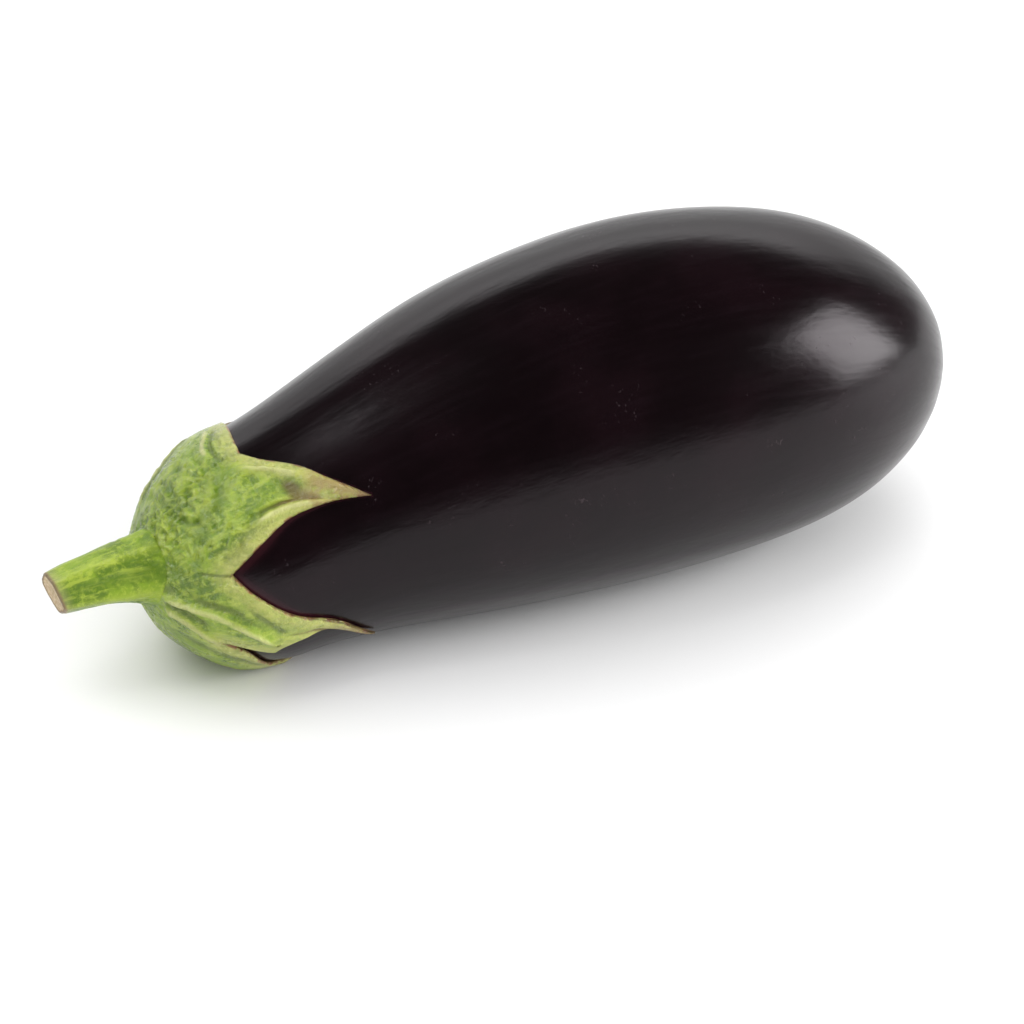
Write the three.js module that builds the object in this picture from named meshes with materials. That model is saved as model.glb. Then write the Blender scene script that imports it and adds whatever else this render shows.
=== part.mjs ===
// Whole eggplant lying on its side, as picked: the fleshy fruit, the green calyx that caps its
// narrow end with six pointed lobes, and the short cut stem.
//
// Frame: millimetres, +Z up, z = 0 is the surface it lies on. +X runs along the fruit from the stem
// towards the blossom end. The origin is the middle of the small flat under the belly.

import * as THREE from 'three';

// ------------------------------------------------------------------ driving dimensions, millimetres
const FRUIT_LENGTH = 201;        // stem pole to blossom pole, measured along X
const NECK_RADIUS = 27;          // half width at the neck, just past the shoulder
const NECK_AT = 28;              // distance of the neck from the stem pole
const NECK_FLARE = 3.5;          // slope of the skin at the neck, degrees
const BELLY_RADIUS = 42;         // half width at the widest section
const BELLY_AT = 126;            // distance of the widest section from the stem pole
const SHOULDER_FULLNESS = 19;    // how squarely the skin leaves the stem pole
const BLOSSOM_FULLNESS = 18.5;   // how squarely it arrives at the blossom pole
const SCAR_RADIUS = 4.5;         // dimple of the blossom scar
const SCAR_DEPTH = 0.9;
const AXIS_HEIGHTS = [20.8, 33.4, 55.6, 29.2]; // Bezier heights of the centreline, stem to blossom
const AXIS_SWAY = [0, 2.6, 3.3, 0];            // Bezier sideways sway of the centreline
const REST_AT = 105;             // distance of the rest spot from the stem pole
const REST_SWAY = 2.2;           // centreline sway at the rest spot

const GAP = 0.4;                 // clearance between neighbouring bodies
const CALYX_WALL = 2.6;          // thickness of the calyx beside the stem
const CALYX_EDGE = 1.0;          // thickness of the calyx at its margins
const CALYX_CLEARANCE = 0.3;     // height of the lowest lobe over the surface
const CALYX_BED = 1.8;           // how deep the lowest lobes bed into the underside of the fruit
const SEAT_REACH = 11;           // the stem grows a little off the pole: distance along the skin
const SEAT_BEARING = 110;        // and the side it is moved to, degrees
const COLLAR_RADIUS = 9.2;       // flat seat of the stem on top of the calyx
const COLLAR_RISE = 0.3;
const COLLAR_FOOT = 11.2;        // radius where the collar meets the dome of the calyx

const STEM_LENGTH = 20.4;
const STEM_BASE_RADIUS = 7.6;
const STEM_END_RADIUS = 5.1;
const STEM_FLARE = 1.3;          // extra radius right at the calyx
const STEM_RIDGE = 0.35;         // height of the five lengthwise ridges
const STEM_BASE_PITCH = 3;       // the stem leaves the calyx rising by 3 degrees
const STEM_END_PITCH = -11;      // and droops by 11 at its cut end

// Notches between the lobes, and the lobes that follow them: [bearing, reach]. Bearing is in degrees
// around the fruit, 0 away on +Y, 90 on top; reach is the distance along the skin from the stem pole.
// "left" and "right" are the points a margin passes between its notch and the tip, and "hook" is how
// late the lobe bends over towards its tip.
const NOTCHES = [[97, 45.8], [151, 32], [197, 25], [284, 31], [332, 37], [376, 40]];
const LOBES = [
  { tip: [143, 66.6], left: [[120, 56]], right: [[142, 41], [138, 50], [140, 58]], hook: 5 },
  { tip: [219, 59], left: [[174, 38.5], [197, 50]], right: [[197, 35], [203, 48]], hook: 3.2 },
  { tip: [257, 55], left: [[219, 34], [240, 41]], right: [[273, 42]], hook: 2 },
  { tip: [310, 62], left: [[296, 45]], right: [[324, 50]], hook: 2 },
  { tip: [354, 60], left: [[342, 48]], right: [[367, 50]], hook: 2 },
  { tip: [388, 62], left: [[381, 51]], right: [[424, 49], [402, 53.5]], hook: 2 },
];

// mesh density
const FRUIT_ROWS = 38;
const FRUIT_COLUMNS = 48;
const HALF_LOBE_COLUMNS = 6;
const CALYX_ROWS = 15;
const STEM_ROWS = 8;
const STEM_COLUMNS = 30;

const { lerp, smoothstep, degToRad } = THREE.MathUtils;

// ------------------------------------------------------------------ the fruit's own coordinates

// Half section of the fruit: x is the distance from the stem pole, y the radius.
function sectionOutline() {
  const neck = new THREE.Vector2(NECK_AT, NECK_RADIUS);
  const flare = new THREE.Vector2(1, Math.tan(degToRad(NECK_FLARE))).normalize();
  const beforeNeck = neck.clone().addScaledVector(flare, -13.5);
  const afterNeck = neck.clone().addScaledVector(flare, 25.5);
  const belly = new THREE.Vector2(BELLY_AT, BELLY_RADIUS);
  const path = new THREE.CurvePath();
  path.add(new THREE.CubicBezierCurve(new THREE.Vector2(0, 0),
    new THREE.Vector2(0, SHOULDER_FULLNESS), beforeNeck, neck));
  path.add(new THREE.CubicBezierCurve(neck, afterNeck,
    new THREE.Vector2(BELLY_AT - 52, BELLY_RADIUS), belly));
  path.add(new THREE.CubicBezierCurve(belly, new THREE.Vector2(BELLY_AT + 59, BELLY_RADIUS),
    new THREE.Vector2(FRUIT_LENGTH, BLOSSOM_FULLNESS), new THREE.Vector2(FRUIT_LENGTH, 0)));
  return path;
}

// Centreline of the fruit. Its x advances evenly with the parameter.
function centreline() {
  const stations = AXIS_HEIGHTS.map((height, i) =>
    new THREE.Vector3(FRUIT_LENGTH * i / 3, AXIS_SWAY[i], height));
  return new THREE.CubicBezierCurve3(...stations);
}

const OUTLINE = sectionOutline();
const OUTLINE_LENGTH = OUTLINE.getLength();
const AXIS = centreline();
const UP = new THREE.Vector3(0, 0, 1);

// Point at `along` from the stem pole, `radius` off the centreline, at a bearing in degrees.
function around(along, radius, bearing) {
  const t = along / FRUIT_LENGTH;
  const forward = AXIS.getTangent(THREE.MathUtils.clamp(t, 0, 1));
  const away = UP.clone().cross(forward).normalize();
  const over = forward.clone().cross(away);
  const angle = degToRad(bearing);
  return AXIS.getPoint(t)
    .addScaledVector(away, radius * Math.cos(angle))
    .addScaledVector(over, radius * Math.sin(angle))
    .sub(new THREE.Vector3(REST_AT, REST_SWAY, 0));
}

// Point on the outline at `reach` along the skin, lifted outwards by `lift`, at a bearing.
function onSkin(reach, lift, bearing) {
  const t = reach / OUTLINE_LENGTH;
  const slope = OUTLINE.getTangent(t);
  const { x: along, y: radius } = OUTLINE.getPoint(t);
  const liftedRadius = Math.max(0, radius + lift * slope.x);
  const scar = along > BELLY_AT ? SCAR_DEPTH * Math.exp(-((radius / SCAR_RADIUS) ** 2)) : 0;
  return around(along - lift * slope.y - scar, liftedRadius, bearing);
}

// The fruit shrinks under the calyx, so that the calyx lies nearly flush with the bare skin, and a
// little more underneath, where the fruit lies on its calyx.
function fruitLift(reach, bearing) {
  const below = Math.max(0, -Math.sin(degToRad(bearing))) ** 8;
  const bed = CALYX_BED * below * smoothstep(reach, 14, 30) * (1 - smoothstep(reach, 44, 62));
  return -(CALYX_WALL + GAP) * (1 - smoothstep(reach, 14, 44)) - bed;
}

// Moves [bearing, reach] so that rings around the pole become rings around the stem's seat, and
// leaves everything past the notches where it is.
function aroundSeat([bearing, reach]) {
  const shift = SEAT_REACH * (1 - smoothstep(reach, COLLAR_FOOT, 28));
  const x = reach * Math.cos(degToRad(bearing)) + shift * Math.cos(degToRad(SEAT_BEARING));
  const y = reach * Math.sin(degToRad(bearing)) + shift * Math.sin(degToRad(SEAT_BEARING));
  return [THREE.MathUtils.radToDeg(Math.atan2(y, x)), Math.hypot(x, y)];
}

function calyxWall(reach) {
  return lerp(CALYX_WALL, CALYX_EDGE, smoothstep(reach, 0, 40));
}

// ------------------------------------------------------------------ meshes

// Closed skin over rings of equally many points, from one end point to the other. The rings turn
// from +Y over the top and follow each other towards +X on the outside.
function closedSkin(first, rings, last) {
  const columns = rings[0].length;
  const points = [first, ...rings.flat(), last];
  const at = (row, column) => 1 + row * columns + column % columns;
  const index = [];
  for (let j = 0; j < columns; j++) {
    index.push(0, at(0, j + 1), at(0, j));
    for (let i = 0; i + 1 < rings.length; i++) {
      index.push(at(i, j), at(i, j + 1), at(i + 1, j));
      index.push(at(i, j + 1), at(i + 1, j + 1), at(i + 1, j));
    }
    index.push(at(rings.length - 1, j), at(rings.length - 1, j + 1), points.length - 1);
  }
  const geometry = new THREE.BufferGeometry().setFromPoints(points);
  geometry.setIndex(index);
  geometry.computeVertexNormals();
  return geometry;
}

function namedMesh(name, geometry, color, roughness) {
  const mesh = new THREE.Mesh(geometry, new THREE.MeshStandardMaterial({ color, roughness }));
  mesh.name = name;
  return mesh;
}

// The belly is pressed flat where it lies on the surface.
function fruit() {
  const rings = [];
  for (let i = 1; i < FRUIT_ROWS; i++) {
    const reach = OUTLINE_LENGTH * i / FRUIT_ROWS;
    rings.push(Array.from({ length: FRUIT_COLUMNS }, (_, j) => {
      const bearing = 360 * j / FRUIT_COLUMNS;
      const point = onSkin(reach, fruitLift(reach, bearing), bearing);
      return point.setZ(Math.max(point.z, 0));
    }));
  }
  const first = onSkin(0, fruitLift(0, 0), 0);
  const last = onSkin(OUTLINE_LENGTH, 0, 0);
  return namedMesh('fruit', closedSkin(first, rings, last), 0x1b121c, 0.25);
}

// Evenly spaced points of a lobe margin from its notch to its tip; x is bearing, y is reach.
function margin(notch, between, tip) {
  const stations = [notch, ...between, tip].map(([bearing, reach]) => new THREE.Vector2(bearing, reach));
  return new THREE.SplineCurve(stations).getSpacedPoints(HALF_LOBE_COLUMNS);
}

// The columns of one lobe. Each is a function of the fraction from the collar (0) to the margin (1)
// that returns [bearing, reach]; fractions from 0 to -1 run on to the middle of the seat. The middle
// column ends in the tip, the first one in the notch. A column leaves the collar straight and swings
// over to its place on the margin, later where `hook` is large.
function lobeColumns(lobe, notch, nextNotch) {
  const left = margin(notch, lobe.left, lobe.tip);
  const right = margin(nextNotch, lobe.right, lobe.tip);
  return Array.from({ length: 2 * HALF_LOBE_COLUMNS }, (_, k) => {
    const start = lerp(notch[0], nextNotch[0], k / (2 * HALF_LOBE_COLUMNS));
    const end = k < HALF_LOBE_COLUMNS ? left[k] : right[2 * HALF_LOBE_COLUMNS - k];
    return (fraction) => {
      if (fraction < 0) return [start, COLLAR_FOOT * (1 + fraction)];
      const reach = lerp(COLLAR_FOOT, end.y, fraction);
      return [lerp(start, end.x, (reach / end.y) ** lobe.hook), reach];
    };
  });
}

// Lift of the two skins of the calyx over the outline.
const innerLift = (reach, bearing) => fruitLift(reach, bearing) + GAP;
const outerLift = (reach, bearing) => innerLift(reach, bearing) + calyxWall(reach);

function pitched(pitch) {
  return new THREE.Vector3(-Math.cos(degToRad(pitch)), 0, Math.sin(degToRad(pitch)));
}

// Points of a ring around a centre, across a direction, turning from +Y over the top.
function ringAcross(centre, forward, radii, angles) {
  const away = UP.clone().cross(forward).normalize();
  const over = forward.clone().cross(away);
  return angles.map((angle, j) => centre.clone()
    .addScaledVector(away, radii[j] * Math.cos(angle))
    .addScaledVector(over, radii[j] * Math.sin(angle)));
}

// Middle of the flat seat of the stem.
function seatMiddle() {
  return onSkin(SEAT_REACH, outerLift(SEAT_REACH, SEAT_BEARING), SEAT_BEARING)
    .addScaledVector(pitched(STEM_BASE_PITCH), COLLAR_RISE);
}

// Shell over the narrow end: a flat seat for the stem, the outer skin down to the margins, then the
// inner skin back to the middle. The lowest lobes are pressed up by the surface.
function calyx() {
  const columns = LOBES.flatMap((lobe, i) => {
    const [bearing, reach] = NOTCHES[(i + 1) % NOTCHES.length];
    const turn = i + 1 === NOTCHES.length ? 360 : 0;
    return lobeColumns(lobe, NOTCHES[i], [bearing + turn, reach]);
  });
  const ring = (fraction, lift) => columns.map((column) => {
    const [bearing, reach] = aroundSeat(column(fraction));
    return onSkin(reach, lift(reach, bearing), bearing);
  });
  const fractions = Array.from({ length: CALYX_ROWS }, (_, i) => i / (CALYX_ROWS - 1));
  const middle = seatMiddle();
  const seat = ringAcross(middle, pitched(STEM_BASE_PITCH).negate(),
    columns.map(() => COLLAR_RADIUS), columns.map((column) => degToRad(column(-1)[0])));
  const outside = fractions.map((fraction) => ring(fraction, outerLift));
  for (const point of outside.flat()) point.z = Math.max(point.z, CALYX_CLEARANCE);
  const inside = [-0.67, -0.33, ...fractions].reverse().map((fraction) => ring(fraction, innerLift));
  const last = onSkin(SEAT_REACH, innerLift(SEAT_REACH, SEAT_BEARING), SEAT_BEARING);
  return namedMesh('calyx', closedSkin(middle, [seat, ...outside, ...inside], last), 0x9fb65a, 0.4);
}

// Curved, tapering and faintly ridged, flat at both ends; it flares where it meets the calyx.
function stem() {
  const seat = seatMiddle().addScaledVector(pitched(STEM_BASE_PITCH), GAP);
  const middle = seat.clone().addScaledVector(pitched(STEM_BASE_PITCH), STEM_LENGTH / 2);
  const end = middle.clone().addScaledVector(pitched(STEM_END_PITCH), STEM_LENGTH / 2);
  const curve = new THREE.QuadraticBezierCurve3(end, middle, seat);
  const angles = Array.from({ length: STEM_COLUMNS }, (_, j) => 2 * Math.PI * j / STEM_COLUMNS);
  const rings = [];
  for (let i = 0; i <= STEM_ROWS; i++) {
    const t = i / STEM_ROWS;                      // 0 at the cut end, 1 at the calyx
    const radius = lerp(STEM_END_RADIUS, STEM_BASE_RADIUS, t) + STEM_FLARE * t ** 5;
    const radii = angles.map((angle) => radius - STEM_RIDGE * (1 - Math.cos(5 * angle)) / 2);
    rings.push(ringAcross(curve.getPoint(t), curve.getTangent(t), radii, angles));
  }
  return namedMesh('stem', closedSkin(end, rings, seat), 0xa3a75c, 0.6);
}

const eggplant = new THREE.Group();
eggplant.name = 'eggplant';
eggplant.add(fruit(), calyx(), stem());

export default eggplant;
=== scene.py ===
"""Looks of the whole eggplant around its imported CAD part.

Shapes are worked out in millimetres in the fruit's own coordinates (reach along the skin from the
stem pole, lift off the skin, bearing around the fruit) and turned into metres in the row frame.
"""

import math

import bpy
import numpy as np
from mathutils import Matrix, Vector, noise
from mathutils.kdtree import KDTree


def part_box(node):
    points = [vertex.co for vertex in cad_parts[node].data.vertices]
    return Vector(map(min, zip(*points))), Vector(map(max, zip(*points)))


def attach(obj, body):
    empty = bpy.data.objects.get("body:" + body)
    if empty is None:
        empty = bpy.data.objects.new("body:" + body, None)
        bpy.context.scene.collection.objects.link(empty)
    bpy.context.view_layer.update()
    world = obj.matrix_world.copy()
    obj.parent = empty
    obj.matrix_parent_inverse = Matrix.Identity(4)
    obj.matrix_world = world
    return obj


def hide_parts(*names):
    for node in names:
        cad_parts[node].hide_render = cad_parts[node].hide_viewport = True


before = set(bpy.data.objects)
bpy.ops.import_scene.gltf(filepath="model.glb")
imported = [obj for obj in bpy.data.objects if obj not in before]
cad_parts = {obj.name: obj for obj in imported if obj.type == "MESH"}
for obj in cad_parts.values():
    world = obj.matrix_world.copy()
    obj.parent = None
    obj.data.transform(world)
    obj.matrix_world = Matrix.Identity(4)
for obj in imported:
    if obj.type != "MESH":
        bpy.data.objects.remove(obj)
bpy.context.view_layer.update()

MM = 0.001

# ---------------------------------------------------------------- the fruit, millimetres and degrees
FRUIT_LENGTH = 201.0
NECK_AT, NECK_RADIUS, NECK_FLARE = 28.0, 27.0, 3.5
BELLY_AT, BELLY_RADIUS = 126.0, 42.0
SHOULDER_FULLNESS, BLOSSOM_FULLNESS = 19.0, 18.5
AXIS_HEIGHTS = (20.8, 33.4, 55.6, 29.2)
AXIS_SWAY = (0.0, 2.6, 3.3, 0.0)
SCAR_RADIUS, SCAR_DEPTH = 3.6, 0.9
FRUIT_ROWS, FRUIT_COLUMNS = 250, 256
DENT_SIZE, FLUTE_SIZE = 38, (60, 9, 9)
DENTS_START, DENTS_END = (48, 85), (0, 30)  # where the dents set in, from the stem and from the scar
FLUTES_GIRTH = 40.0                     # see wrapped()
BELLY_SOFTNESS = 0.2                    # how softly the belly turns into its flat
BED_DEPTH, BED_FADES = 3.0, (14, 44)    # how deep the fruit shrinks under the calyx, and where it stops

# ---------------------------------------------------------------- the calyx
# [bearing, reach] of the notches between the lobes, and the margins from notch to tip. The grid
# lines of a lobe with a "hook" bend over to the margin, the others spread between its two margins.
NOTCHES = [(97, 45.8), (151, 32.1), (197, 25), (284, 31), (332, 37), (376, 40)]
LOBES = [
    {"tip": (143, 66.6), "left": [(106, 49), (118, 55.4), (129, 59.9)],
     "right": [(143, 40.6), (137.5, 48.7), (138.5, 57.9)]},
    {"tip": (220, 59.1), "left": [(162, 34.4), (174, 38.3), (184, 42.9), (197, 51.3)],
     "right": [(201, 30), (206, 35.4), (203, 37.2), (199.5, 41.8), (200.5, 48.8)]},
    {"tip": (258, 55), "left": [(207, 30), (221, 33), (236, 36.5), (250, 44)],
     "right": [(273, 42)], "hook": 1.6},
    {"tip": (310, 62), "left": [(296, 45)], "right": [(324, 50)], "hook": 2},
    {"tip": (354, 60), "left": [(342, 48)], "right": [(367, 50)], "hook": 2},
    {"tip": (387, 60), "left": [(381, 51)],
     "right": [(446, 46.4), (432, 47.4), (418, 48), (400, 50)], "hook": 2.5},
]
# Ridges and grooves on the calyx: points as [bearing, reach], height, half width.
LINES = [
    ([(104, 42), (108, 45), (114, 49.5), (120.5, 53.5), (128, 57), (134.5, 61), (141, 65.5)],
     1.1, 0.8),
    ([(112, 44), (116, 47), (121, 50), (126, 52.7), (131.5, 55.7), (136.5, 59.8), (140, 63.5)],
     -1.5, 0.9),
    ([(131, 39.5), (129.7, 43), (129.7, 47), (130.5, 50), (132, 53), (136.5, 58)], -0.8, 0.6),
    ([(135, 39.5), (133, 43), (132.6, 47), (133.2, 50), (134.5, 53), (138, 58.5)], 0.7, 0.8),
    ([(150, 13), (155.5, 15.5), (164.5, 20.5), (172, 26), (180.5, 30), (188.5, 33.5), (197, 36.5)],
     1.0, 0.9),
    ([(150.5, 18.5), (162, 23.5), (169.5, 29), (178, 33), (186.5, 36)], -0.4, 1.1),
    ([(166, 31.4), (177, 34.7), (191, 39.5), (196, 45.6), (210, 54)], -0.6, 0.9),
    ([(160, 10.7), (169, 14.4), (179, 18.5), (190, 22.2), (195, 24.5)], 0.9, 1.0),
    ([(152, 12), (161, 15), (170, 19), (180, 23)], -0.45, 1.0),
    ([(200, 13), (205, 20), (215, 28), (230, 34)], -0.45, 1.2),
    ([(115, 12), (125, 12), (138, 13.9), (152, 18)], -0.7, 1.2),
    ([(85, 16), (98, 13), (115, 13.1)], -0.6, 1.2),
    ([(142.5, 24.5), (147.5, 28.5), (151, 31.6)], -0.5, 0.5),
    ([(62, 45), (72, 43.5), (82, 41.3), (91, 40.7), (97, 41.5)], -0.6, 0.6),
    ([(64, 43), (73, 41.8), (82, 39.6), (91, 39.2)], 0.5, 0.8),
]
HALF_LOBE_COLUMNS = 30
CALYX_ROWS, LINING_ROWS = 130, 70
ROW_CROWDING = 1.4                      # crowds the rows towards the margin
MARGIN_CURVE_STEPS, LINE_CURVE_STEPS = 24, 16
CALYX_GIRTH = 25.0                      # see wrapped()
CALYX_WALL, CALYX_BLADE, CALYX_EDGE = 2.9, 1.6, 0.8
SEAT_REACH, SEAT_BEARING = 11.0, 110.0  # the stem grows a little off the pole
FOOT_RADIUS = 8.8                       # where the calyx hands over to the stem
BUMPS_BEARING, BUMPS_REACH = 110, 32    # the crumpled patch on its upper shoulder
BUMPS_TURN, BUMPS_SPREAD = 33, 12       # its half width in degrees and in millimetres
ROUNDED_EDGE = 0.5                      # radius of the margin's edge
LOWEST_OUTSIDE, LOWEST_INSIDE = 0.15, 0.05  # the calyx stays this far above what the fruit lies on

# ---------------------------------------------------------------- the stem
STEM_LENGTH = 21.8
STEM_END_RADIUS, STEM_BASE_RADIUS, STEM_FLARE = 5.1, 7.6, 1.2
STEM_BASE_PITCH, STEM_END_PITCH = 3, -11
CUT_SLANT = 0.16                        # the cut leans back on the near side
CUT_DIP, CUT_EDGE = 0.35, 0.5           # hollow of the cut end and radius of its rim
STEM_ROWS, CUT_ROWS = 80, 14
PLUG = 1.2                              # how far both pieces reach in behind their joint
# Lengthwise ribs and grooves of the stem: bearing, height, half width in degrees.
RIBS = [(82, 0.25, 14), (118, 0.40, 14), (158, -0.50, 17), (196, 0.50, 13), (238, -0.35, 14),
        (275, 0.40, 16), (320, -0.30, 16), (0, 0.40, 16), (43, -0.30, 15)]

# ---------------------------------------------------------------- shared
NOISE_SHIFT = np.array(Vector((31.7, 11.3, 57.9)))  # moves each seed's noise to another place
GRAIN_UNIT = 10                         # texture coordinates are in centimetres


# ================================================================ curves and coordinates
def smoothstep(x, low, high):
    """0 below low, 1 above high and a smooth S between them."""
    t = np.clip((np.asarray(x, float) - low) / (high - low), 0, 1)
    return t * t * (3 - 2 * t)


def bezier(points, t):
    """Cubic Bezier through its first and last of four points, at an array of parameters."""
    a, b, c, d = (np.asarray(p, float) for p in points)
    t = t[:, None]
    return (1 - t) ** 3 * a + 3 * t * (1 - t) ** 2 * b + 3 * t * t * (1 - t) * c + t ** 3 * d


def spline(points, count):
    """Catmull-Rom curve through the points, sampled densely."""
    p = np.array([points[0], *points, points[-1]], float)
    parts = []
    for i in range(len(points) - 1):
        t = np.linspace(0, 1, count, endpoint=False)[:, None]
        a, b, c, d = p[i], p[i + 1], p[i + 2], p[i + 3]
        parts.append(0.5 * (2 * b + (c - a) * t + (2 * a - 5 * b + 4 * c - d) * t ** 2
                            + (3 * b - a - 3 * c + d) * t ** 3))
    return np.vstack([*parts, p[-1:]])


def section_outline():
    """Half section of the fruit: reach, distance along, radius and unit slope at dense stations."""
    flare = np.array([1, math.tan(math.radians(NECK_FLARE))])
    flare /= np.linalg.norm(flare)
    neck = np.array([NECK_AT, NECK_RADIUS])
    belly = (BELLY_AT, BELLY_RADIUS)
    t = np.linspace(0, 1, 700)
    parts = [
        bezier([(0, 0), (0, SHOULDER_FULLNESS), neck - 13.5 * flare, neck], t),
        bezier([neck, neck + 25.5 * flare, (BELLY_AT - 52, BELLY_RADIUS), belly], t)[1:],
        bezier([belly, (BELLY_AT + 59, BELLY_RADIUS), (FRUIT_LENGTH, BLOSSOM_FULLNESS),
                (FRUIT_LENGTH, 0)], t)[1:],
    ]
    points = np.vstack(parts)
    steps = np.linalg.norm(np.diff(points, axis=0), axis=1)
    reach = np.concatenate([[0], np.cumsum(steps)])
    slope = np.gradient(points, axis=0)
    slope /= np.linalg.norm(slope, axis=1)[:, None]
    return reach, points, slope


REACH, OUTLINE, SLOPE = section_outline()
OUTLINE_LENGTH = REACH[-1]
AXIS_POINTS = [(FRUIT_LENGTH * i / 3, AXIS_SWAY[i], AXIS_HEIGHTS[i]) for i in range(4)]


def axis_frame(along):
    """Centreline point and the directions forward, away (+Y) and over (+Z) at distances along."""
    t = along / FRUIT_LENGTH
    centre = bezier(AXIS_POINTS, t)
    safe = np.clip(t, 0.0005, 0.9995)
    forward = bezier(AXIS_POINTS, safe + 0.0005) - bezier(AXIS_POINTS, safe - 0.0005)
    return centre, *upright(forward)


def upright(forward):
    """Unit directions forward, away and over, from directions forward of any length."""
    forward = forward / np.linalg.norm(forward, axis=1)[:, None]
    away = np.cross([0, 0, 1], forward)
    away /= np.linalg.norm(away, axis=1)[:, None]
    return forward, away, np.cross(forward, away)


def around(along, radius, bearing):
    """Points at distances along the centreline, at a radius and a bearing around it."""
    centre, _, away, over = axis_frame(along)
    angle = np.radians(bearing)
    side = (radius * np.cos(angle))[:, None] * away + (radius * np.sin(angle))[:, None] * over
    return centre + side


def over_skin(reach, lift, bearing):
    """Points at a reach along the skin, lifted off it, in the fruit's own millimetres."""
    along = np.interp(reach, REACH, OUTLINE[:, 0])
    radius = np.interp(reach, REACH, OUTLINE[:, 1])
    rise_along = np.interp(reach, REACH, SLOPE[:, 0])
    rise_out = np.interp(reach, REACH, SLOPE[:, 1])
    return around(along - lift * rise_out, np.maximum(radius + lift * rise_along, 0), bearing)


def rest_origin():
    """The row frame's origin in the fruit's own millimetres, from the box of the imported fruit."""
    stations = np.meshgrid(np.linspace(0, OUTLINE_LENGTH, 300), [0.0], np.arange(0.0, 360.0))
    skin = over_skin(*(a.ravel() for a in stations))
    low, high = (np.array(corner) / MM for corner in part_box("fruit"))
    middle = (skin.max(axis=0) + skin.min(axis=0) - high - low) / 2
    return np.array([skin[:, 0].max() - high[0], middle[1], skin[:, 2].max() - high[2]])


ORIGIN = rest_origin()


def on_skin(reach, lift, bearing):
    """Points of over_skin() in millimetres of the row frame."""
    return over_skin(reach, lift, bearing) - ORIGIN


def skin_radius(reach):
    """Radius of the fruit at a reach along its skin."""
    return np.interp(reach, REACH, OUTLINE[:, 1])


def fruit_lift(reach):
    """The fruit shrinks under the calyx, so that the calyx lies nearly flush with the bare skin."""
    return -BED_DEPTH * (1 - smoothstep(reach, *BED_FADES))


def roughly(points, size, seed):
    """Smooth noise, about -1 to 1, over points in millimetres; size is the grain in millimetres."""
    places = points / np.asarray(size, float) + NOISE_SHIFT * seed
    return np.array([noise.noise(Vector(p)) for p in places])


def wrapped(reach, bearing, girth=CALYX_GIRTH):
    """Seamless coordinates on the skin: lengthwise millimetres first, then around the girth."""
    angle = np.radians(bearing)
    return np.stack([reach, girth * np.cos(angle), girth * np.sin(angle)], axis=1)


# ================================================================ meshes
def closed_skin(name, first, rings, last, attributes, material, joint_rows=()):
    """Closed mesh over rings of equally many points (rows, columns, 3) between two end points.
    The bands of faces behind the joint rows are hidden ones that must not soften the shading."""
    rows, columns, _ = rings.shape
    points = np.vstack([first, rings.reshape(-1, 3), last]) * MM
    at = 1 + np.arange(rows * columns).reshape(rows, columns)
    turned = np.roll(at, -1, axis=1)
    quads = np.stack([at[:-1], turned[:-1], turned[1:], at[1:]], axis=-1).reshape(-1, 4)
    opening = np.stack([np.zeros(columns, int), turned[0], at[0]], axis=-1)
    closing = np.stack([at[-1], turned[-1], np.full(columns, len(points) - 1)], axis=-1)
    mesh = bpy.data.meshes.new(name)
    mesh.from_pydata(points.tolist(), [], opening.tolist() + quads.tolist() + closing.tolist())
    for key, values in attributes.items():
        values = values.reshape(rows * columns, -1)
        padded = np.concatenate([values[:1], values, values[-1:]])
        kind = "FLOAT_VECTOR" if padded.shape[1] == 3 else "FLOAT"
        layer = mesh.attributes.new(key, kind, "POINT")
        layer.data.foreach_set("vector" if kind == "FLOAT_VECTOR" else "value",
                               padded.astype(np.float32).ravel())
    smooth = np.ones((rows + 1, columns), bool)
    smooth[list(joint_rows)] = False
    mesh.polygons.foreach_set("use_smooth", smooth.ravel())
    mesh.materials.append(material)
    piece = bpy.data.objects.new(name, mesh)
    bpy.context.scene.collection.objects.link(piece)
    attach(piece, "root")
    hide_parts(name.removeprefix("eggplant_"))


def grid(rows, columns):
    """Row and column values spread over a grid and flattened."""
    return np.repeat(rows, len(columns)), np.tile(columns, len(rows))


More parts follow.
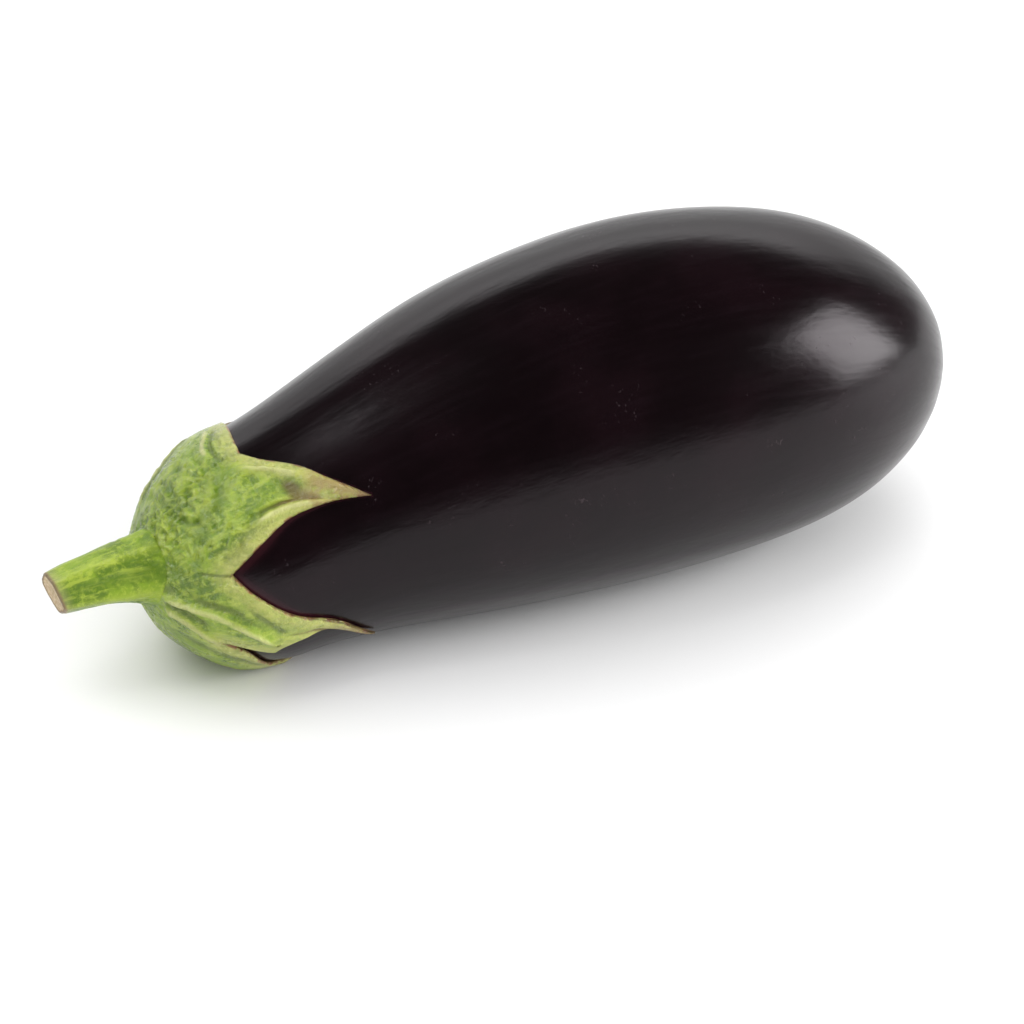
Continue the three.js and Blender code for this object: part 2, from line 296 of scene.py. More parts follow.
def fruit(material):
    """Smooth body with faint lengthwise flutes and dents, a blossom scar and a flattened belly."""
    reach, bearing = grid(np.linspace(0, OUTLINE_LENGTH, FRUIT_ROWS + 2)[1:-1],
                          np.linspace(0, 360, FRUIT_COLUMNS, endpoint=False))
    body = on_skin(reach, fruit_lift(reach), bearing)
    from_scar = OUTLINE_LENGTH - reach
    ends = smoothstep(reach, *DENTS_START) * smoothstep(from_scar, *DENTS_END)
    girdle = wrapped(reach, bearing, FLUTES_GIRTH)
    dents = 0.45 * roughly(body, DENT_SIZE, 1) + 0.12 * roughly(girdle, FLUTE_SIZE, 2)
    scar = -SCAR_DEPTH * np.exp(-(from_scar / SCAR_RADIUS) ** 2)
    scar += 0.35 * np.exp(-((from_scar - 4.6) / 1.6) ** 2)
    scar -= 0.25 * np.exp(-(from_scar / 9) ** 2) * np.cos(np.radians(3 * bearing + 40))
    points = on_skin(reach, fruit_lift(reach) + ends * dents + scar, bearing)
    height = points[:, 2]
    points[:, 2] = 0.5 * (height + np.sqrt(height ** 2 + BELLY_SOFTNESS ** 2))
    rings = points.reshape(FRUIT_ROWS, FRUIT_COLUMNS, 3)
    tip = on_skin(np.array([OUTLINE_LENGTH]), np.array([-SCAR_DEPTH - 0.25]), np.zeros(1))
    top = on_skin(np.zeros(1), fruit_lift(np.zeros(1)), np.zeros(1))
    closed_skin("eggplant_fruit", top, rings, tip, {
        "grain": girdle / GRAIN_UNIT,
        "shaded": shaded_by_calyx(rings.reshape(-1, 3)),
        "scar": np.exp(-(from_scar / 4.2) ** 2),
    }, material)


def shaded_by_calyx(points):
    """1 on the bare skin at the calyx margin, fading away from it, widest in the upper notch."""
    notch = on_skin(*np.array([[40.0], [0.0], [160.0]]))[0]
    in_notch = np.exp(-(np.linalg.norm(points - notch, axis=1) / 12) ** 2)
    return np.exp(-distance_to(points, MARGIN_POINTS) / (0.5 + 2.5 * in_notch))


def nearest(points, targets):
    """Distance from each point to its nearest target, and that target's number."""
    tree = KDTree(len(targets))
    for i, p in enumerate(targets):
        tree.insert(p, i)
    tree.balance()
    found = [tree.find(p) for p in points]
    return np.array([f[2] for f in found]), np.array([f[1] for f in found])


def distance_to(points, targets):
    """Distance from each point to its nearest target."""
    return nearest(points, targets)[0]


def margin(notch, between, tip):
    """A lobe margin from notch to tip as dense stations of [bearing, reach], reach never falling."""
    stations = spline([notch, *between, tip], MARGIN_CURVE_STEPS)
    stations[:, 1] = np.maximum.accumulate(stations[:, 1] + 1e-4 * np.arange(len(stations)))
    return stations


def spaced(stations, count):
    """The same margin at evenly spaced places, measured in millimetres on the skin."""
    wide = np.radians(np.diff(stations[:, 0])) * skin_radius(stations[1:, 1])
    steps = np.hypot(wide, np.diff(stations[:, 1]))
    place = np.concatenate([[0], np.cumsum(steps)])
    even = np.linspace(0, place[-1], count + 1)
    return np.stack([np.interp(even, place, stations[:, i]) for i in range(2)], axis=1)


def notch_after(lobe_number):
    """The notch that ends a lobe; the last lobe's is the first notch, a full turn on."""
    if lobe_number + 1 < len(NOTCHES):
        return NOTCHES[lobe_number + 1]
    return NOTCHES[0][0] + 360, NOTCHES[0][1]


def calyx_columns():
    """The lines of the calyx grid that run from the stem to the margin, equally many to a lobe."""
    columns = []
    for i, lobe in enumerate(LOBES):
        following = notch_after(i)
        left = margin(NOTCHES[i], lobe["left"], lobe["tip"])
        right = margin(following, lobe["right"], lobe["tip"])
        ends_left = spaced(left, HALF_LOBE_COLUMNS)
        ends_right = spaced(right, HALF_LOBE_COLUMNS)
        for k in range(2 * HALF_LOBE_COLUMNS):
            across = k / HALF_LOBE_COLUMNS - 1
            columns.append({
                "left": left, "right": right, "across": across, "hook": lobe.get("hook"),
                "start": NOTCHES[i][0] + (following[0] - NOTCHES[i][0]) * (across + 1) / 2,
                "end": ends_left[k] if across < 0 else ends_right[2 * HALF_LOBE_COLUMNS - k],
            })
    return columns


COLUMNS = calyx_columns()
MARGIN_POINTS = np.vstack([
    on_skin(m[:, 1], fruit_lift(m[:, 1]), m[:, 0])
    for m in {id(c[side]): c[side] for c in COLUMNS for side in ("left", "right")}.values()])


def around_seat(reach, bearing):
    """Turns rings around the pole into rings around the seat of the stem, near the stem only."""
    shift = SEAT_REACH * (1 - smoothstep(reach, FOOT_RADIUS, 28))
    x = reach * np.cos(np.radians(bearing)) + shift * math.cos(math.radians(SEAT_BEARING))
    y = reach * np.sin(np.radians(bearing)) + shift * math.sin(math.radians(SEAT_BEARING))
    return np.hypot(x, y), np.degrees(np.arctan2(y, x)) % 360


def column_path(column, reach):
    """Bearing of a grid line of the calyx at given reaches."""
    end_bearing, end_reach = column["end"]
    if column["hook"]:
        bent = (reach / end_reach) ** column["hook"]
        return column["start"] + (end_bearing - column["start"]) * bent
    across = column["across"]
    outwards = abs(across) + (1 - abs(across)) * (reach / end_reach) ** 3
    share = 0.5 + 0.5 * np.sign(across) * outwards
    from_left, from_right = (np.interp(reach, column[side][:, 1], column[side][:, 0])
                             for side in ("left", "right"))
    return from_left + (from_right - from_left) * share


def calyx_sheet(fractions):
    """Reach, bearing and distance from the stem's foot, for every place of the calyx grid."""
    reach = np.stack([FOOT_RADIUS + (c["end"][1] - FOOT_RADIUS) * fractions for c in COLUMNS], axis=1)
    bearing = np.stack([column_path(c, reach[:, j]) for j, c in enumerate(COLUMNS)], axis=1)
    from_stem = reach.ravel() - FOOT_RADIUS
    return *around_seat(reach.ravel(), bearing.ravel()), from_stem


def lines_relief(points):
    """Height of the ridges and grooves, and where each of the two is, along the lines listed above
    and along the midribs of the lobes that have none listed."""
    relief, ridge, crease = np.zeros((3, len(points)))
    drawn = list(LINES)
    for i, lobe in enumerate(LOBES[2:], start=2):
        base = 0.5 * (NOTCHES[i][0] + notch_after(i)[0])
        tip = lobe["tip"]
        rib = [(base, 16), (base, 30), (0.5 * (base + tip[0]), 46), (tip[0], tip[1] - 1)]
        drawn.append((rib, 0.5, 1.1))
        drawn.append(([(b + 5 * (1 - r / tip[1]), r) for b, r in rib], -0.35, 1.0))
    for stations, height, width in drawn:
        path = spline(stations, LINE_CURVE_STEPS)
        line = on_skin(path[:, 1], fruit_lift(path[:, 1]), path[:, 0])
        distance, number = nearest(points, line)
        place = number / (len(line) - 1)
        fade = smoothstep(place, 0, 0.25) * (1 - 0.6 * smoothstep(place, 0.85, 1))
        shape = np.exp(-(distance / width) ** 2) * fade
        relief += height * shape
        crease = np.maximum(crease, shape * (height < 0))
        ridge = np.maximum(ridge, shape * (height > 0))
    return relief, ridge, crease


def crumpled(points):
    """Sharp little wrinkles, about -1 to 1, over points in millimetres."""
    wander = np.stack([roughly(points, 4, seed) for seed in (11, 12, 13)], axis=1)
    coarse = 1 - 2.6 * np.abs(roughly(points + 1.6 * wander, (2.4, 1.9, 1.9), 3))
    return coarse - 0.8 * np.abs(roughly(points + wander, 1.0, 14))


def ribs(bearing):
    """Height of the stem's ribs at bearings around it."""
    return sum(height * np.exp(-(((bearing - at + 180) % 360 - 180) / width) ** 2)
               for at, height, width in RIBS)


def calyx(material):
    """Thick fleshy cap with pointed lobes, crumpled on its shoulder and thin at its margins.
    Returns its first ring, where the stem grows out of it."""
    rows = 1 - (1 - np.linspace(0, 1, CALYX_ROWS)) ** ROW_CROWDING
    reach, bearing, from_stem = calyx_sheet(rows)
    flat = on_skin(reach, fruit_lift(reach), bearing)
    to_margin = distance_to(flat, MARGIN_POINTS)
    tips = np.array([lobe["tip"] for lobe in LOBES], float)
    to_tip = distance_to(flat, on_skin(tips[:, 1], np.zeros(len(tips)), tips[:, 0]))
    relief, ridge, crease = lines_relief(flat)
    under = 0.06 + 0.35 * np.exp(-to_margin / 0.9)
    full = CALYX_WALL + (CALYX_BLADE - CALYX_WALL) * smoothstep(reach, 0, 45)
    wall = CALYX_EDGE + (full - CALYX_EDGE) * (1 - np.exp(-to_margin / 2.0))
    rounded = np.sqrt(np.clip(1 - (1 - np.clip(to_margin / ROUNDED_EDGE, 0, 1)) ** 2, 0, 1))
    shoulder = (np.exp(-((bearing - BUMPS_BEARING) / BUMPS_TURN) ** 2)
                * np.exp(-((reach - BUMPS_REACH) / BUMPS_SPREAD) ** 2))
    near_stem = np.exp(-(from_stem / 4.0) ** 2)
    wrinkled, fine = crumpled(flat), roughly(flat, 1.1, 4)
    broad = roughly(flat, 8.5, 5)
    hills = (0.10 + 0.75 * shoulder + 0.30 * near_stem) * wrinkled
    hills += (0.06 + 0.28 * shoulder + 0.12 * near_stem) * fine + 0.35 * broad
    turn = np.tile([column_path(c, np.array([FOOT_RADIUS]))[0] for c in COLUMNS], len(rows))
    rib = ribs(turn) * np.exp(-(from_stem / 7) ** 2)
    collar = 0.8 * np.exp(-from_stem / 2.2)
    hills *= smoothstep(to_margin, 0, 3.0)
    hills = (hills + relief * rounded) * smoothstep(from_stem, -0.5, 1.2) + rib
    thickness = np.maximum(wall * rounded + collar + hills, 0.35 * rounded)
    lift = fruit_lift(reach) + under + thickness
    outside = on_skin(reach, lift, bearing)
    outside[:, 2] = np.maximum(outside[:, 2], LOWEST_OUTSIDE)

    reach_in, bearing_in, _ = calyx_sheet((1 - np.linspace(0, 1, LINING_ROWS) ** ROW_CROWDING)[1:])
    flat_in = on_skin(reach_in, fruit_lift(reach_in), bearing_in)
    margin_in = distance_to(flat_in, MARGIN_POINTS)
    lining = 0.05 + 0.33 * np.exp(-margin_in / 0.9)
    inside = on_skin(reach_in, fruit_lift(reach_in) + lining, bearing_in)
    inside[:, 2] = np.maximum(inside[:, 2], LOWEST_INSIDE)

    rings = np.vstack([outside, inside]).reshape(-1, len(COLUMNS), 3)
    foot = rings[0]
    seat = foot.mean(axis=0)
    first = seat - PLUG * pitched(STEM_BASE_PITCH)
    last = on_skin(*np.array([[SEAT_REACH], [float(fruit_lift(SEAT_REACH)) + 0.05], [SEAT_BEARING]]))
    unseen = np.zeros(len(reach_in))
    closed_skin("eggplant_calyx", first, rings, last, {
        "grain": np.vstack([wrapped(reach, bearing), wrapped(reach_in, bearing_in)]) / GRAIN_UNIT,
        "flesh": np.vstack([outside, inside]) / GRAIN_UNIT,
        "margin": np.concatenate([to_margin, unseen]),
        "tip": np.concatenate([np.exp(-to_tip / 4.0), unseen + 1]),
        "ridge": np.concatenate([ridge, unseen]),
        "crease": np.concatenate([crease, unseen]),
        "hill": np.concatenate([np.clip(hills, -1, 1), unseen]),
        "shoulder": np.concatenate([shoulder, unseen]),
        "fibrous": np.concatenate([smoothstep(from_stem, 0, 6), unseen]),
    }, material, joint_rows=[0])
    return foot


def pitched(pitch):
    """Unit vector away from the fruit along the stem, at a pitch above the horizontal."""
    return np.array([-math.cos(math.radians(pitch)), 0, math.sin(math.radians(pitch))])


def stem(material, foot):
    """Curved tapering stem with lengthwise ribs, a flared foot and a dry cut end."""
    seat = foot.mean(axis=0)
    middle = seat + 0.5 * STEM_LENGTH * pitched(STEM_BASE_PITCH)
    end = middle + 0.5 * STEM_LENGTH * pitched(STEM_END_PITCH)
    t = np.linspace(0, 1, STEM_ROWS)
    centre = (((1 - t) ** 2)[:, None] * end + (2 * t * (1 - t))[:, None] * middle
              + (t * t)[:, None] * seat)
    tangent = 2 * (1 - t)[:, None] * (middle - end) + 2 * t[:, None] * (seat - middle)
    _, away, over = upright(tangent)
    angle = np.arctan2((foot - seat) @ over[-1], (foot - seat) @ away[-1])
    radius = STEM_END_RADIUS + (STEM_BASE_RADIUS - STEM_END_RADIUS) * t + STEM_FLARE * t ** 5
    rib = ribs(np.degrees(angle))
    turn, place = (a.ravel() for a in np.meshgrid(angle, t))
    surface = np.stack([place * STEM_LENGTH, 6 * np.cos(turn), 6 * np.sin(turn)], axis=1)
    rough_foot = smoothstep(place, 0.6, 0.95)
    texture = 0.16 * roughly(surface, (9, 1.6, 1.6), 6) + 0.22 * roughly(surface, (6, 4, 4), 7)
    texture += 0.30 * rough_foot * crumpled(surface)
    radial = radius[:, None] + (rib[None, :] + texture.reshape(len(t), -1)) * (1 - t[:, None] ** 12)
    edge = np.sqrt(1 - (1 - np.clip(t * STEM_LENGTH / CUT_EDGE, 0, 1)) ** 2)
    radial = radial - CUT_DIP * (1 - edge)[:, None]
    side = np.cos(angle)[None, :, None] * away[:, None] + np.sin(angle)[None, :, None] * over[:, None]
    rings = centre[:, None] + radial[:, :, None] * side
    rings += (smoothstep(t, 0.45, 1.0) ** 2)[:, None, None] * (foot - rings[-1])[None]
    forward = -pitched(STEM_END_PITCH)
    lean = -side[..., 1:2] * radial[..., None]
    rings += CUT_SLANT * ((1 - t) ** 4)[:, None, None] * lean * forward
    share = np.linspace(0, 1, CUT_ROWS, endpoint=False)[1:]
    rim = rings[0] - end
    cut_noise = roughly(np.vstack([end + s * rim for s in share]), 1.1, 9).reshape(len(share), -1)
    dip = CUT_DIP * (1 - share ** 4)[:, None] + 0.12 * cut_noise
    face = end + share[:, None, None] * rim[None] + dip[:, :, None] * forward

    plug = seat + 0.5 * (foot - seat) - PLUG * pitched(STEM_BASE_PITCH)
    all_rings = np.vstack([face, rings, plug[None]])
    count = len(COLUMNS)
    lengthwise = np.concatenate([np.zeros(len(share)), t, [1.0]])
    girth = np.concatenate([share * 5, np.full(STEM_ROWS + 1, 6.0)])
    grain = np.stack([np.repeat(lengthwise * STEM_LENGTH, count),
                      (girth[:, None] * np.cos(angle)).ravel(),
                      (girth[:, None] * np.sin(angle)).ravel()], axis=1) / GRAIN_UNIT
    closed_skin("eggplant_stem", end + CUT_DIP * forward, all_rings,
                seat - (PLUG + 0.2) * pitched(STEM_BASE_PITCH), {
        "grain": grain,
        "flesh": all_rings.reshape(-1, 3) / GRAIN_UNIT,
        "cut": np.repeat(np.concatenate([np.ones(len(share)), np.zeros(STEM_ROWS + 1)]), count),
        "ring": np.repeat(np.concatenate([share, np.ones(STEM_ROWS + 1)]), count),
        "lengthwise": np.repeat(lengthwise, count),
        "hill": np.tile(rib, len(lengthwise)),
        "fibrous": np.repeat(1 - smoothstep(lengthwise, 0.7, 1.0), count),
    }, material, joint_rows=[-2, -1])


# ================================================================ materials
class Shading:
    """Small helper around the node tree of a new material, or of a given world."""

    def __init__(self, owner):
        self.material = bpy.data.materials.new(owner) if isinstance(owner, str) else owner
        self.material.use_nodes = True
        self.nodes = self.material.node_tree.nodes
        self.links = self.material.node_tree.links
        self.shader = self.nodes.get("Principled BSDF") or self.nodes["Background"]

    def add(self, kind, inputs=None, **settings):
        node = self.nodes.new(kind)
        for key, value in settings.items():
            setattr(node, key, value)
        for key, value in (inputs or {}).items():
            self.put(node.inputs[key], value)
        return node

    def put(self, socket, value):
        """Links a socket to a value that is a socket, or sets it to a number or colour."""
        if isinstance(value, bpy.types.NodeSocket):
            self.links.new(value, socket)
        else:
            socket.default_value = value

    def value_of(self, name):
        return self.add("ShaderNodeAttribute", attribute_name=name).outputs["Fac"]

    def vector_of(self, name, stretch=(1, 1, 1)):
        source = self.add("ShaderNodeAttribute", attribute_name=name).outputs["Vector"]
        return self.add("ShaderNodeMapping", {"Vector": source, "Scale": stretch}).outputs["Vector"]

    def noise(self, vector, scale, detail=4.0, roughness=0.55, distortion=0.0):
        return self.add("ShaderNodeTexNoise", {
            "Vector": vector, "Scale": scale, "Detail": detail, "Roughness": roughness,
            "Distortion": distortion}).outputs["Fac"]

    def span(self, value, low, high, to_low=0.0, to_high=1.0):
        return self.add("ShaderNodeMapRange", {
            "Value": value, "From Min": low, "From Max": high,
            "To Min": to_low, "To Max": to_high}, interpolation_type="SMOOTHSTEP").outputs["Result"]

    def math(self, operation, a, b):
        return self.add("ShaderNodeMath", {0: a, 1: b}, operation=operation).outputs[0]

    def mix(self, share, a, b):
        node = self.add("ShaderNodeMix", data_type="RGBA")
        self.put(node.inputs[0], share)
        self.put(node.inputs[6], a)
        self.put(node.inputs[7], b)
        return node.outputs[2]

    def bump(self, height, distance, strength=1.0, normal=None):
        inputs = {"Height": height, "Distance": distance, "Strength": strength}
        if normal is not None:
            inputs["Normal"] = normal
        return self.add("ShaderNodeBump", inputs).outputs["Normal"]

    def finish(self, **inputs):
        """Sets or links the shader's inputs, whose names have _ for a space here."""
        for key, value in inputs.items():
            self.put(self.shader.inputs[key.replace("_", " ")], value)
        return self.material


SKIN_BLACK = (0.0028, 0.0010, 0.0015, 1)
SKIN_PURPLE = (0.0055, 0.0019, 0.0030, 1)
SKIN_STREAK = (0.008, 0.0030, 0.0052, 1)
SKIN_SHADED = (0.050, 0.010, 0.016, 1)
SKIN_SCUFF = (0.055, 0.040, 0.045, 1)
SCAR_BROWN = (0.16, 0.095, 0.045, 1)

LEAF_LIGHT = (0.43, 0.53, 0.055, 1)
LEAF_MIDDLE = (0.23, 0.36, 0.012, 1)
LEAF_DEEP = (0.10, 0.19, 0.004, 1)
LEAF_SHADOW = (0.12, 0.17, 0.018, 1)
LEAF_FLESH = {"Subsurface_Weight": 0.12, "Subsurface_Radius": (0.6, 0.8, 0.2),
              "Subsurface_Scale": 0.0015}

MARGIN_PALE = (0.52, 0.52, 0.15, 1)
RIDGE_PALE = (0.62, 0.62, 0.26, 1)
STAIN_TAN = (0.33, 0.23, 0.075, 1)
CREASE_BROWN = (0.13, 0.065, 0.020, 1)
RUST = (0.25, 0.10, 0.035, 1)
TIP_BROWN = (0.24, 0.15, 0.065, 1)
SPECK_BROWN = (0.20, 0.15, 0.04, 1)

STEM_END_TAN = (0.36, 0.33, 0.16, 1)
STEM_RIM_BROWN = (0.24, 0.15, 0.08, 1)
WOOD_DARK, WOOD_LIGHT = (0.56, 0.40, 0.22, 1), (0.78, 0.64, 0.42, 1)
WOOD_BARK, WOOD_PITH = (0.32, 0.20, 0.09, 1), (0.54, 0.42, 0.24, 1)


def skin_material():
    """Near-black glossy skin: faint streaks along it, tiny scuffs, redder where the calyx hid it."""
    m = Shading("aubergine_skin")
    streaks = m.noise(m.vector_of("grain", (0.10, 1, 1)), 7.0, 5, 0.6)
    clouds = m.noise(m.vector_of("grain"), 0.55, 3, 0.5)
    colour = m.mix(m.span(clouds, 0.35, 0.7), SKIN_BLACK, SKIN_PURPLE)
    colour = m.mix(m.span(streaks, 0.5, 0.75, 0, 0.3), colour, SKIN_STREAK)
    colour = m.mix(m.span(m.value_of("shaded"), 0.3, 1.0, 0, 0.75), colour, SKIN_SHADED)
    scar = m.value_of("scar")
    colour = m.mix(m.span(scar, 0.45, 0.9), colour, SCAR_BROWN)
    scuffs = m.noise(m.vector_of("grain", (1.4, 1, 1)), 9.0, 3, 0.6)
    patches = m.noise(m.vector_of("grain"), 1.1, 2, 0.5)
    scuffed = m.math("MULTIPLY", m.span(scuffs, 0.62, 0.72), m.span(patches, 0.55, 0.7))
    colour = m.mix(m.math("MULTIPLY", scuffed, 0.5), colour, SKIN_SCUFF)
    rough = m.span(streaks, 0.3, 0.75, 0.20, 0.25)
    rough = m.math("ADD", rough, m.math("MULTIPLY", scuffed, 0.2))
    rough = m.math("ADD", rough, m.math("MULTIPLY", scar, 0.5))
    waves = m.bump(m.noise(m.vector_of("grain", (0.5, 1, 1)), 2.2, 3, 0.55), 0.0004, 0.25)
    normal = m.bump(streaks, 0.00005, 0.4, waves)
    normal = m.bump(m.noise(m.vector_of("grain"), 34.0, 3, 0.6), 0.00002, 0.5, normal)
    return m.finish(Base_Color=colour, Roughness=rough, Normal=normal, IOR=1.34,
                    Specular_Tint=(0.97, 0.90, 0.94, 1))


def leaf_colour(m):
    """Mottled tissue of calyx and stem: three greens, pale flecks along the grain, painted light on
    bumps and ribs and painted shade in hollows.
    """
    mottled = m.noise(m.vector_of("flesh"), 1.5, 5, 0.62)
    flecks = m.noise(m.vector_of("flesh"), 7.0, 4, 0.65)
    fibres = m.noise(m.vector_of("grain", (0.22, 1, 1)), 8.0, 4, 0.6)
    colour = m.mix(m.span(mottled, 0.40, 0.60), LEAF_DEEP, LEAF_MIDDLE)
    colour = m.mix(m.span(flecks, 0.46, 0.70, 0, 0.75), colour, LEAF_LIGHT)
    fibrous = m.math("MULTIPLY", m.span(fibres, 0.46, 0.66, 0, 0.75), m.value_of("fibrous"))
    colour = m.mix(fibrous, colour, LEAF_LIGHT)
    # Painted light and shade: lighter on the raised bumps and ribs, darker in the hollows between them.
    hill = m.value_of("hill")
    colour = m.mix(m.span(hill, 0.05, 0.6, 0, 0.5), colour, LEAF_LIGHT)
    colour = m.mix(m.span(hill, -0.6, 0.0, 0.55, 0), colour, LEAF_DEEP)
    return colour, mottled, flecks, fibres


def calyx_material():
    """Fleshy yellow-green tissue with pale thin margins, rust-edged in places, brown at the tips, and
    painted shade in its grooves.
    """
    m = Shading("calyx_flesh")
    colour, mottled, flecks, fibres = leaf_colour(m)
    patches = m.span(m.noise(m.vector_of("flesh"), 1.1, 3, 0.55), 0.47, 0.60, 0, 0.75)
    colour = m.mix(m.math("MULTIPLY", patches, m.value_of("shoulder")), colour, LEAF_DEEP)
    edge = m.value_of("margin")
    pale = m.math("MULTIPLY", m.span(edge, 0.8, 6.0, 0.8, 0.0), m.span(flecks, 0.3, 0.6, 0.6, 1.0))
    colour = m.mix(pale, colour, MARGIN_PALE)
    colour = m.mix(m.span(m.value_of("ridge"), 0.4, 0.95, 0, 0.7), colour, RIDGE_PALE)
    tip = m.value_of("tip")
    stains = m.math("MULTIPLY", m.span(mottled, 0.38, 0.54), m.span(tip, 0.002, 0.05, 0, 0.85))
    colour = m.mix(stains, colour, STAIN_TAN)
    # Painted shade along the grooves: a darker green, brown near the tips.
    shadow = m.mix(m.span(tip, 0.0005, 0.008), LEAF_SHADOW, CREASE_BROWN)
    colour = m.mix(m.span(m.value_of("crease"), 0.4, 0.95, 0, 0.7), colour, shadow)
    rust_noise = m.noise(m.vector_of("grain"), 5.0, 3, 0.6)
    rust = m.math("MULTIPLY", m.span(edge, 0.1, 0.65, 1.0, 0.0), m.span(rust_noise, 0.42, 0.60))
    colour = m.mix(rust, colour, RUST)
    dry = m.span(tip, 0.30, 0.80)
    colour = m.mix(m.math("MULTIPLY", dry, 0.9), colour, TIP_BROWN)
    specks = m.noise(m.vector_of("flesh"), 24.0, 2, 0.5)
    colour = m.mix(m.span(specks, 0.68, 0.76, 0, 0.6), colour, SPECK_BROWN)
    rough = m.math("ADD", m.span(mottled, 0.35, 0.65, 0.22, 0.36), m.math("MULTIPLY", dry, 0.35))
    normal = m.bump(m.noise(m.vector_of("flesh"), 12.0, 4, 0.6), 0.0006, 0.9)
    normal = m.bump(m.math("MULTIPLY", fibres, m.value_of("fibrous")), 0.0004, 0.7, normal)
    normal = m.bump(m.noise(m.vector_of("flesh"), 60.0, 2, 0.5), 0.00006, 0.7, normal)
    return m.finish(Base_Color=colour, Roughness=rough, Normal=normal, Coat_Weight=0.45,
                    Coat_Roughness=0.12, Coat_Normal=normal, **LEAF_FLESH)


def stem_material():
    """Green ribbed stem with painted light on its ribs and painted shade in its grooves, and a dry tan
    end under a thin brown rim.
    """
    m = Shading("stem_flesh")
    colour, mottled, _, fibres = leaf_colour(m)
    near_end = m.span(m.value_of("lengthwise"), 0.0, 0.16, 0.5, 0.0)
    colour = m.mix(near_end, colour, STEM_END_TAN)
    rim = m.span(m.value_of("lengthwise"), 0.01, 0.05, 0.9, 0.0)
    colour = m.mix(rim, colour, STEM_RIM_BROWN)
    cut, ring = m.value_of("cut"), m.value_of("ring")
    wood_noise = m.noise(m.vector_of("grain"), 12.0, 4, 0.65)
    wood = m.mix(m.span(wood_noise, 0.35, 0.65), WOOD_DARK, WOOD_LIGHT)
    wood = m.mix(m.span(ring, 0.84, 0.98), wood, WOOD_BARK)
    wood = m.mix(m.span(ring, 0.25, 0.45, 0.4, 0.0), wood, WOOD_PITH)
    colour = m.mix(cut, colour, wood)
    rough = m.math("ADD", m.span(mottled, 0.35, 0.65, 0.28, 0.42), m.math("MULTIPLY", cut, 0.4))
    normal = m.bump(m.noise(m.vector_of("flesh"), 12.0, 4, 0.6), 0.0005, 0.8)
    normal = m.bump(m.math("MULTIPLY", fibres, m.value_of("fibrous")), 0.0004, 0.7, normal)
    normal = m.bump(m.math("MULTIPLY", wood_noise, cut), 0.00025, 0.6, normal)
    return m.finish(Base_Color=colour, Roughness=rough, Normal=normal, **LEAF_FLESH)


def floor_material():
    """Plain pale floor with a barely visible tooth."""
    m = Shading("pale_floor")
    tooth = m.noise(m.add("ShaderNodeTexCoord").outputs["Object"], 900.0, 2, 0.5)
    return m.finish(Base_Color=FLOOR_GREY, Roughness=0.6,
                    Normal=m.bump(tooth, 0.0001, 0.15), Specular_IOR_Level=0.2)


# ================================================================ stage, light and camera
LOOK_AT = Vector(np.array([91.3, 0, 18.7]) - ORIGIN) * MM
LENS, SENSOR_WIDTH = 100, 36            # millimetres
CAMERA_AZIMUTH, CAMERA_ELEVATION, CAMERA_DISTANCE = -24.0, 34.0, 0.671
BACKDROP_AZIMUTH = 66
BACKDROP_SIDES, BACKDROP_TOP = (0.50, 0.80), (0.52, 0.64)  # soft edges, by the light's direction
BACKDROP_GLOW = (0.30, 0.60, 0.9, 2.6)  # from height, to height, from radiance, to radiance
HORIZON_GLOW = (0.0, 0.24, 0.26, 0.06)  # the same, for the pale strip
FLOOR_HALF_WIDTH = 6.0                  # metres, as are the lights' places and sizes
FLOOR_GREY = (0.93, 0.93, 0.93, 1)
LIGHTS_AIM = Vector((0.03, 0, 0.04))
LIGHTS = {
    "key": {"azimuth": 100, "elevation": 72, "distance": 1.8, "width": 2.0, "height": 2.0,
            "radiance": 2.2, "mirrored": False},
    "fill": {"azimuth": -100, "elevation": 50, "distance": 1.8, "width": 2.2, "height": 2.2,
             "radiance": 1.8, "mirrored": False},
    "glints": {"azimuth": 168, "elevation": 43, "distance": 1.2, "width": 0.50, "height": 0.50,
               "radiance": 16.0, "diffuse": False},
    "window": {"azimuth": -27, "elevation": 20, "distance": 1.0, "width": 0.46, "height": 0.56,
               "radiance": 9.5},
}


def direction(azimuth, elevation):
    """Unit vector towards a place seen from the object; azimuth turns from +X to +Y."""
    a, e = math.radians(azimuth), math.radians(elevation)
    return Vector((math.cos(a) * math.cos(e), math.sin(a) * math.cos(e), math.sin(e)))


def floor():
    """The plain sheet that the fruit lies on."""
    size = FLOOR_HALF_WIDTH
    mesh = bpy.data.meshes.new("floor")
    mesh.from_pydata([(-size, -size, 0), (size, -size, 0), (size, size, 0), (-size, size, 0)],
                     [], [(0, 1, 2, 3)])
    mesh.materials.append(floor_material())
    sheet = bpy.data.objects.new("floor", mesh)
    bpy.context.scene.collection.objects.link(sheet)


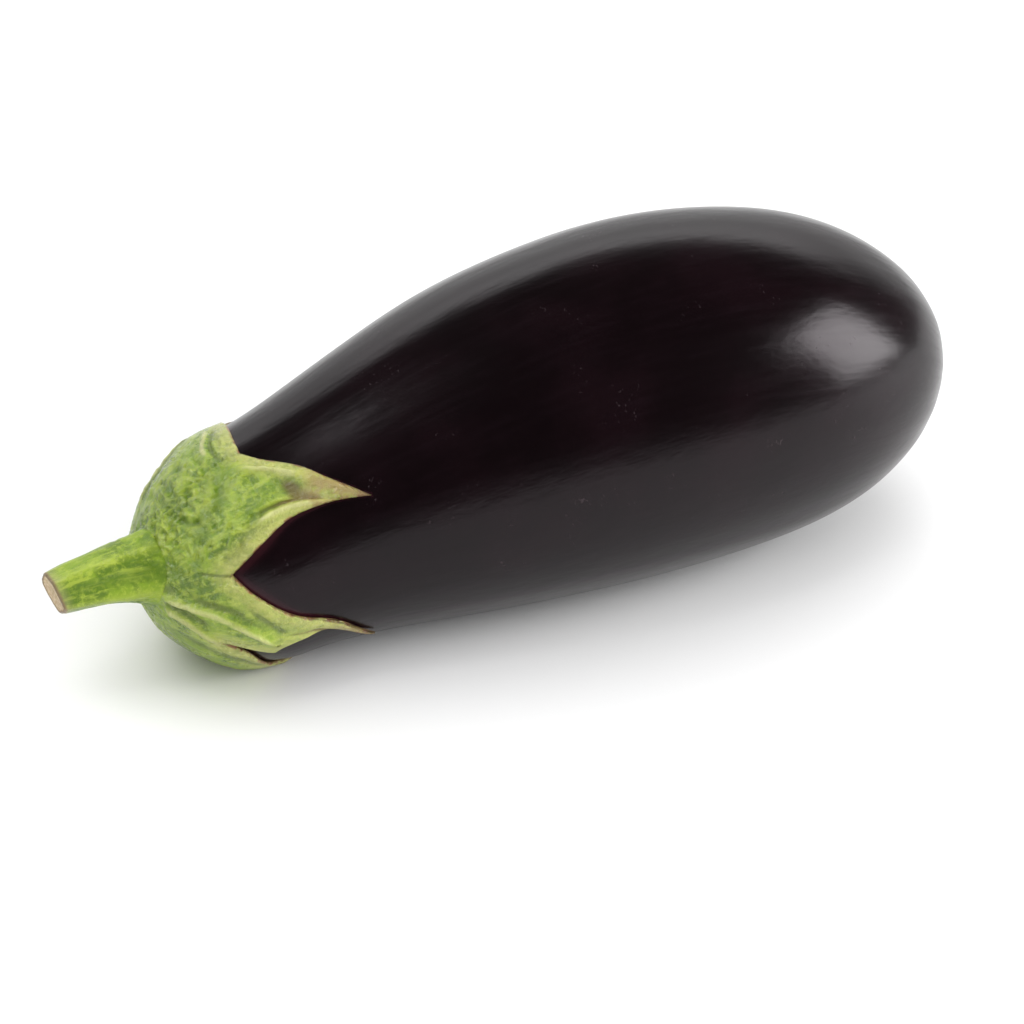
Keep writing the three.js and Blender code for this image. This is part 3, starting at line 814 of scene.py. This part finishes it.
def softbox(name, azimuth, elevation, distance, width, height, radiance,
            diffuse=True, mirrored=True):
    """Rectangular light aimed at the fruit. Power follows from its radiance and its area.
    It lights rough surfaces unless diffuse is off, and shows in glossy ones unless mirrored is."""
    light = bpy.data.lights.new(name, "AREA")
    light.shape, light.size, light.size_y = "RECTANGLE", width, height
    light.energy = radiance * math.pi * width * height
    lamp = bpy.data.objects.new(name, light)
    bpy.context.scene.collection.objects.link(lamp)
    lamp.location = LIGHTS_AIM + distance * direction(azimuth, elevation)
    lamp.rotation_mode = "QUATERNION"
    lamp.rotation_quaternion = (LIGHTS_AIM - lamp.location).to_track_quat("-Z", "Y")
    lamp.visible_camera = False
    lamp.visible_diffuse, lamp.visible_glossy = diffuse, mirrored


def surroundings():
    """Dim studio room with a white backdrop behind the fruit and a pale strip along the horizon."""
    world = bpy.data.worlds.new("studio")
    bpy.context.scene.world = world
    m = Shading(world)
    ray = m.add("ShaderNodeTexCoord").outputs["Generated"]
    height = m.add("ShaderNodeSeparateXYZ", {0: ray}).outputs["Z"]
    towards = m.add("ShaderNodeVectorMath", {0: ray, 1: direction(BACKDROP_AZIMUTH, 0)},
                    operation="DOT_PRODUCT").outputs["Value"]
    below_top = m.span(height, *BACKDROP_TOP, 1.0, 0.0)
    behind = m.math("MULTIPLY", m.span(towards, *BACKDROP_SIDES), below_top)
    behind = m.math("MULTIPLY", behind, m.span(height, *BACKDROP_GLOW))
    strip = m.span(height, *HORIZON_GLOW)
    m.put(m.shader.inputs["Color"], m.math("MAXIMUM", behind, strip))


def camera():
    """The camera, level and looking down at the fruit from the side of its stem."""
    data = bpy.data.cameras.new("camera")
    data.lens, data.sensor_width = LENS, SENSOR_WIDTH
    data.clip_start, data.clip_end = 0.01, 50
    eye = bpy.data.objects.new("camera", data)
    bpy.context.scene.collection.objects.link(eye)
    back = direction(-90 + CAMERA_AZIMUTH, CAMERA_ELEVATION)
    eye.location = LOOK_AT + CAMERA_DISTANCE * back
    eye.rotation_mode = "QUATERNION"
    eye.rotation_quaternion = (-back).to_track_quat("-Z", "Y")
    bpy.context.scene.camera = eye


def main():
    fruit(skin_material())
    foot = calyx(calyx_material())
    stem(stem_material(), foot)
    floor()
    surroundings()
    for name, light in LIGHTS.items():
        softbox(name, **light)
    bpy.context.scene.view_settings.view_transform = "Standard"
    camera()


main()
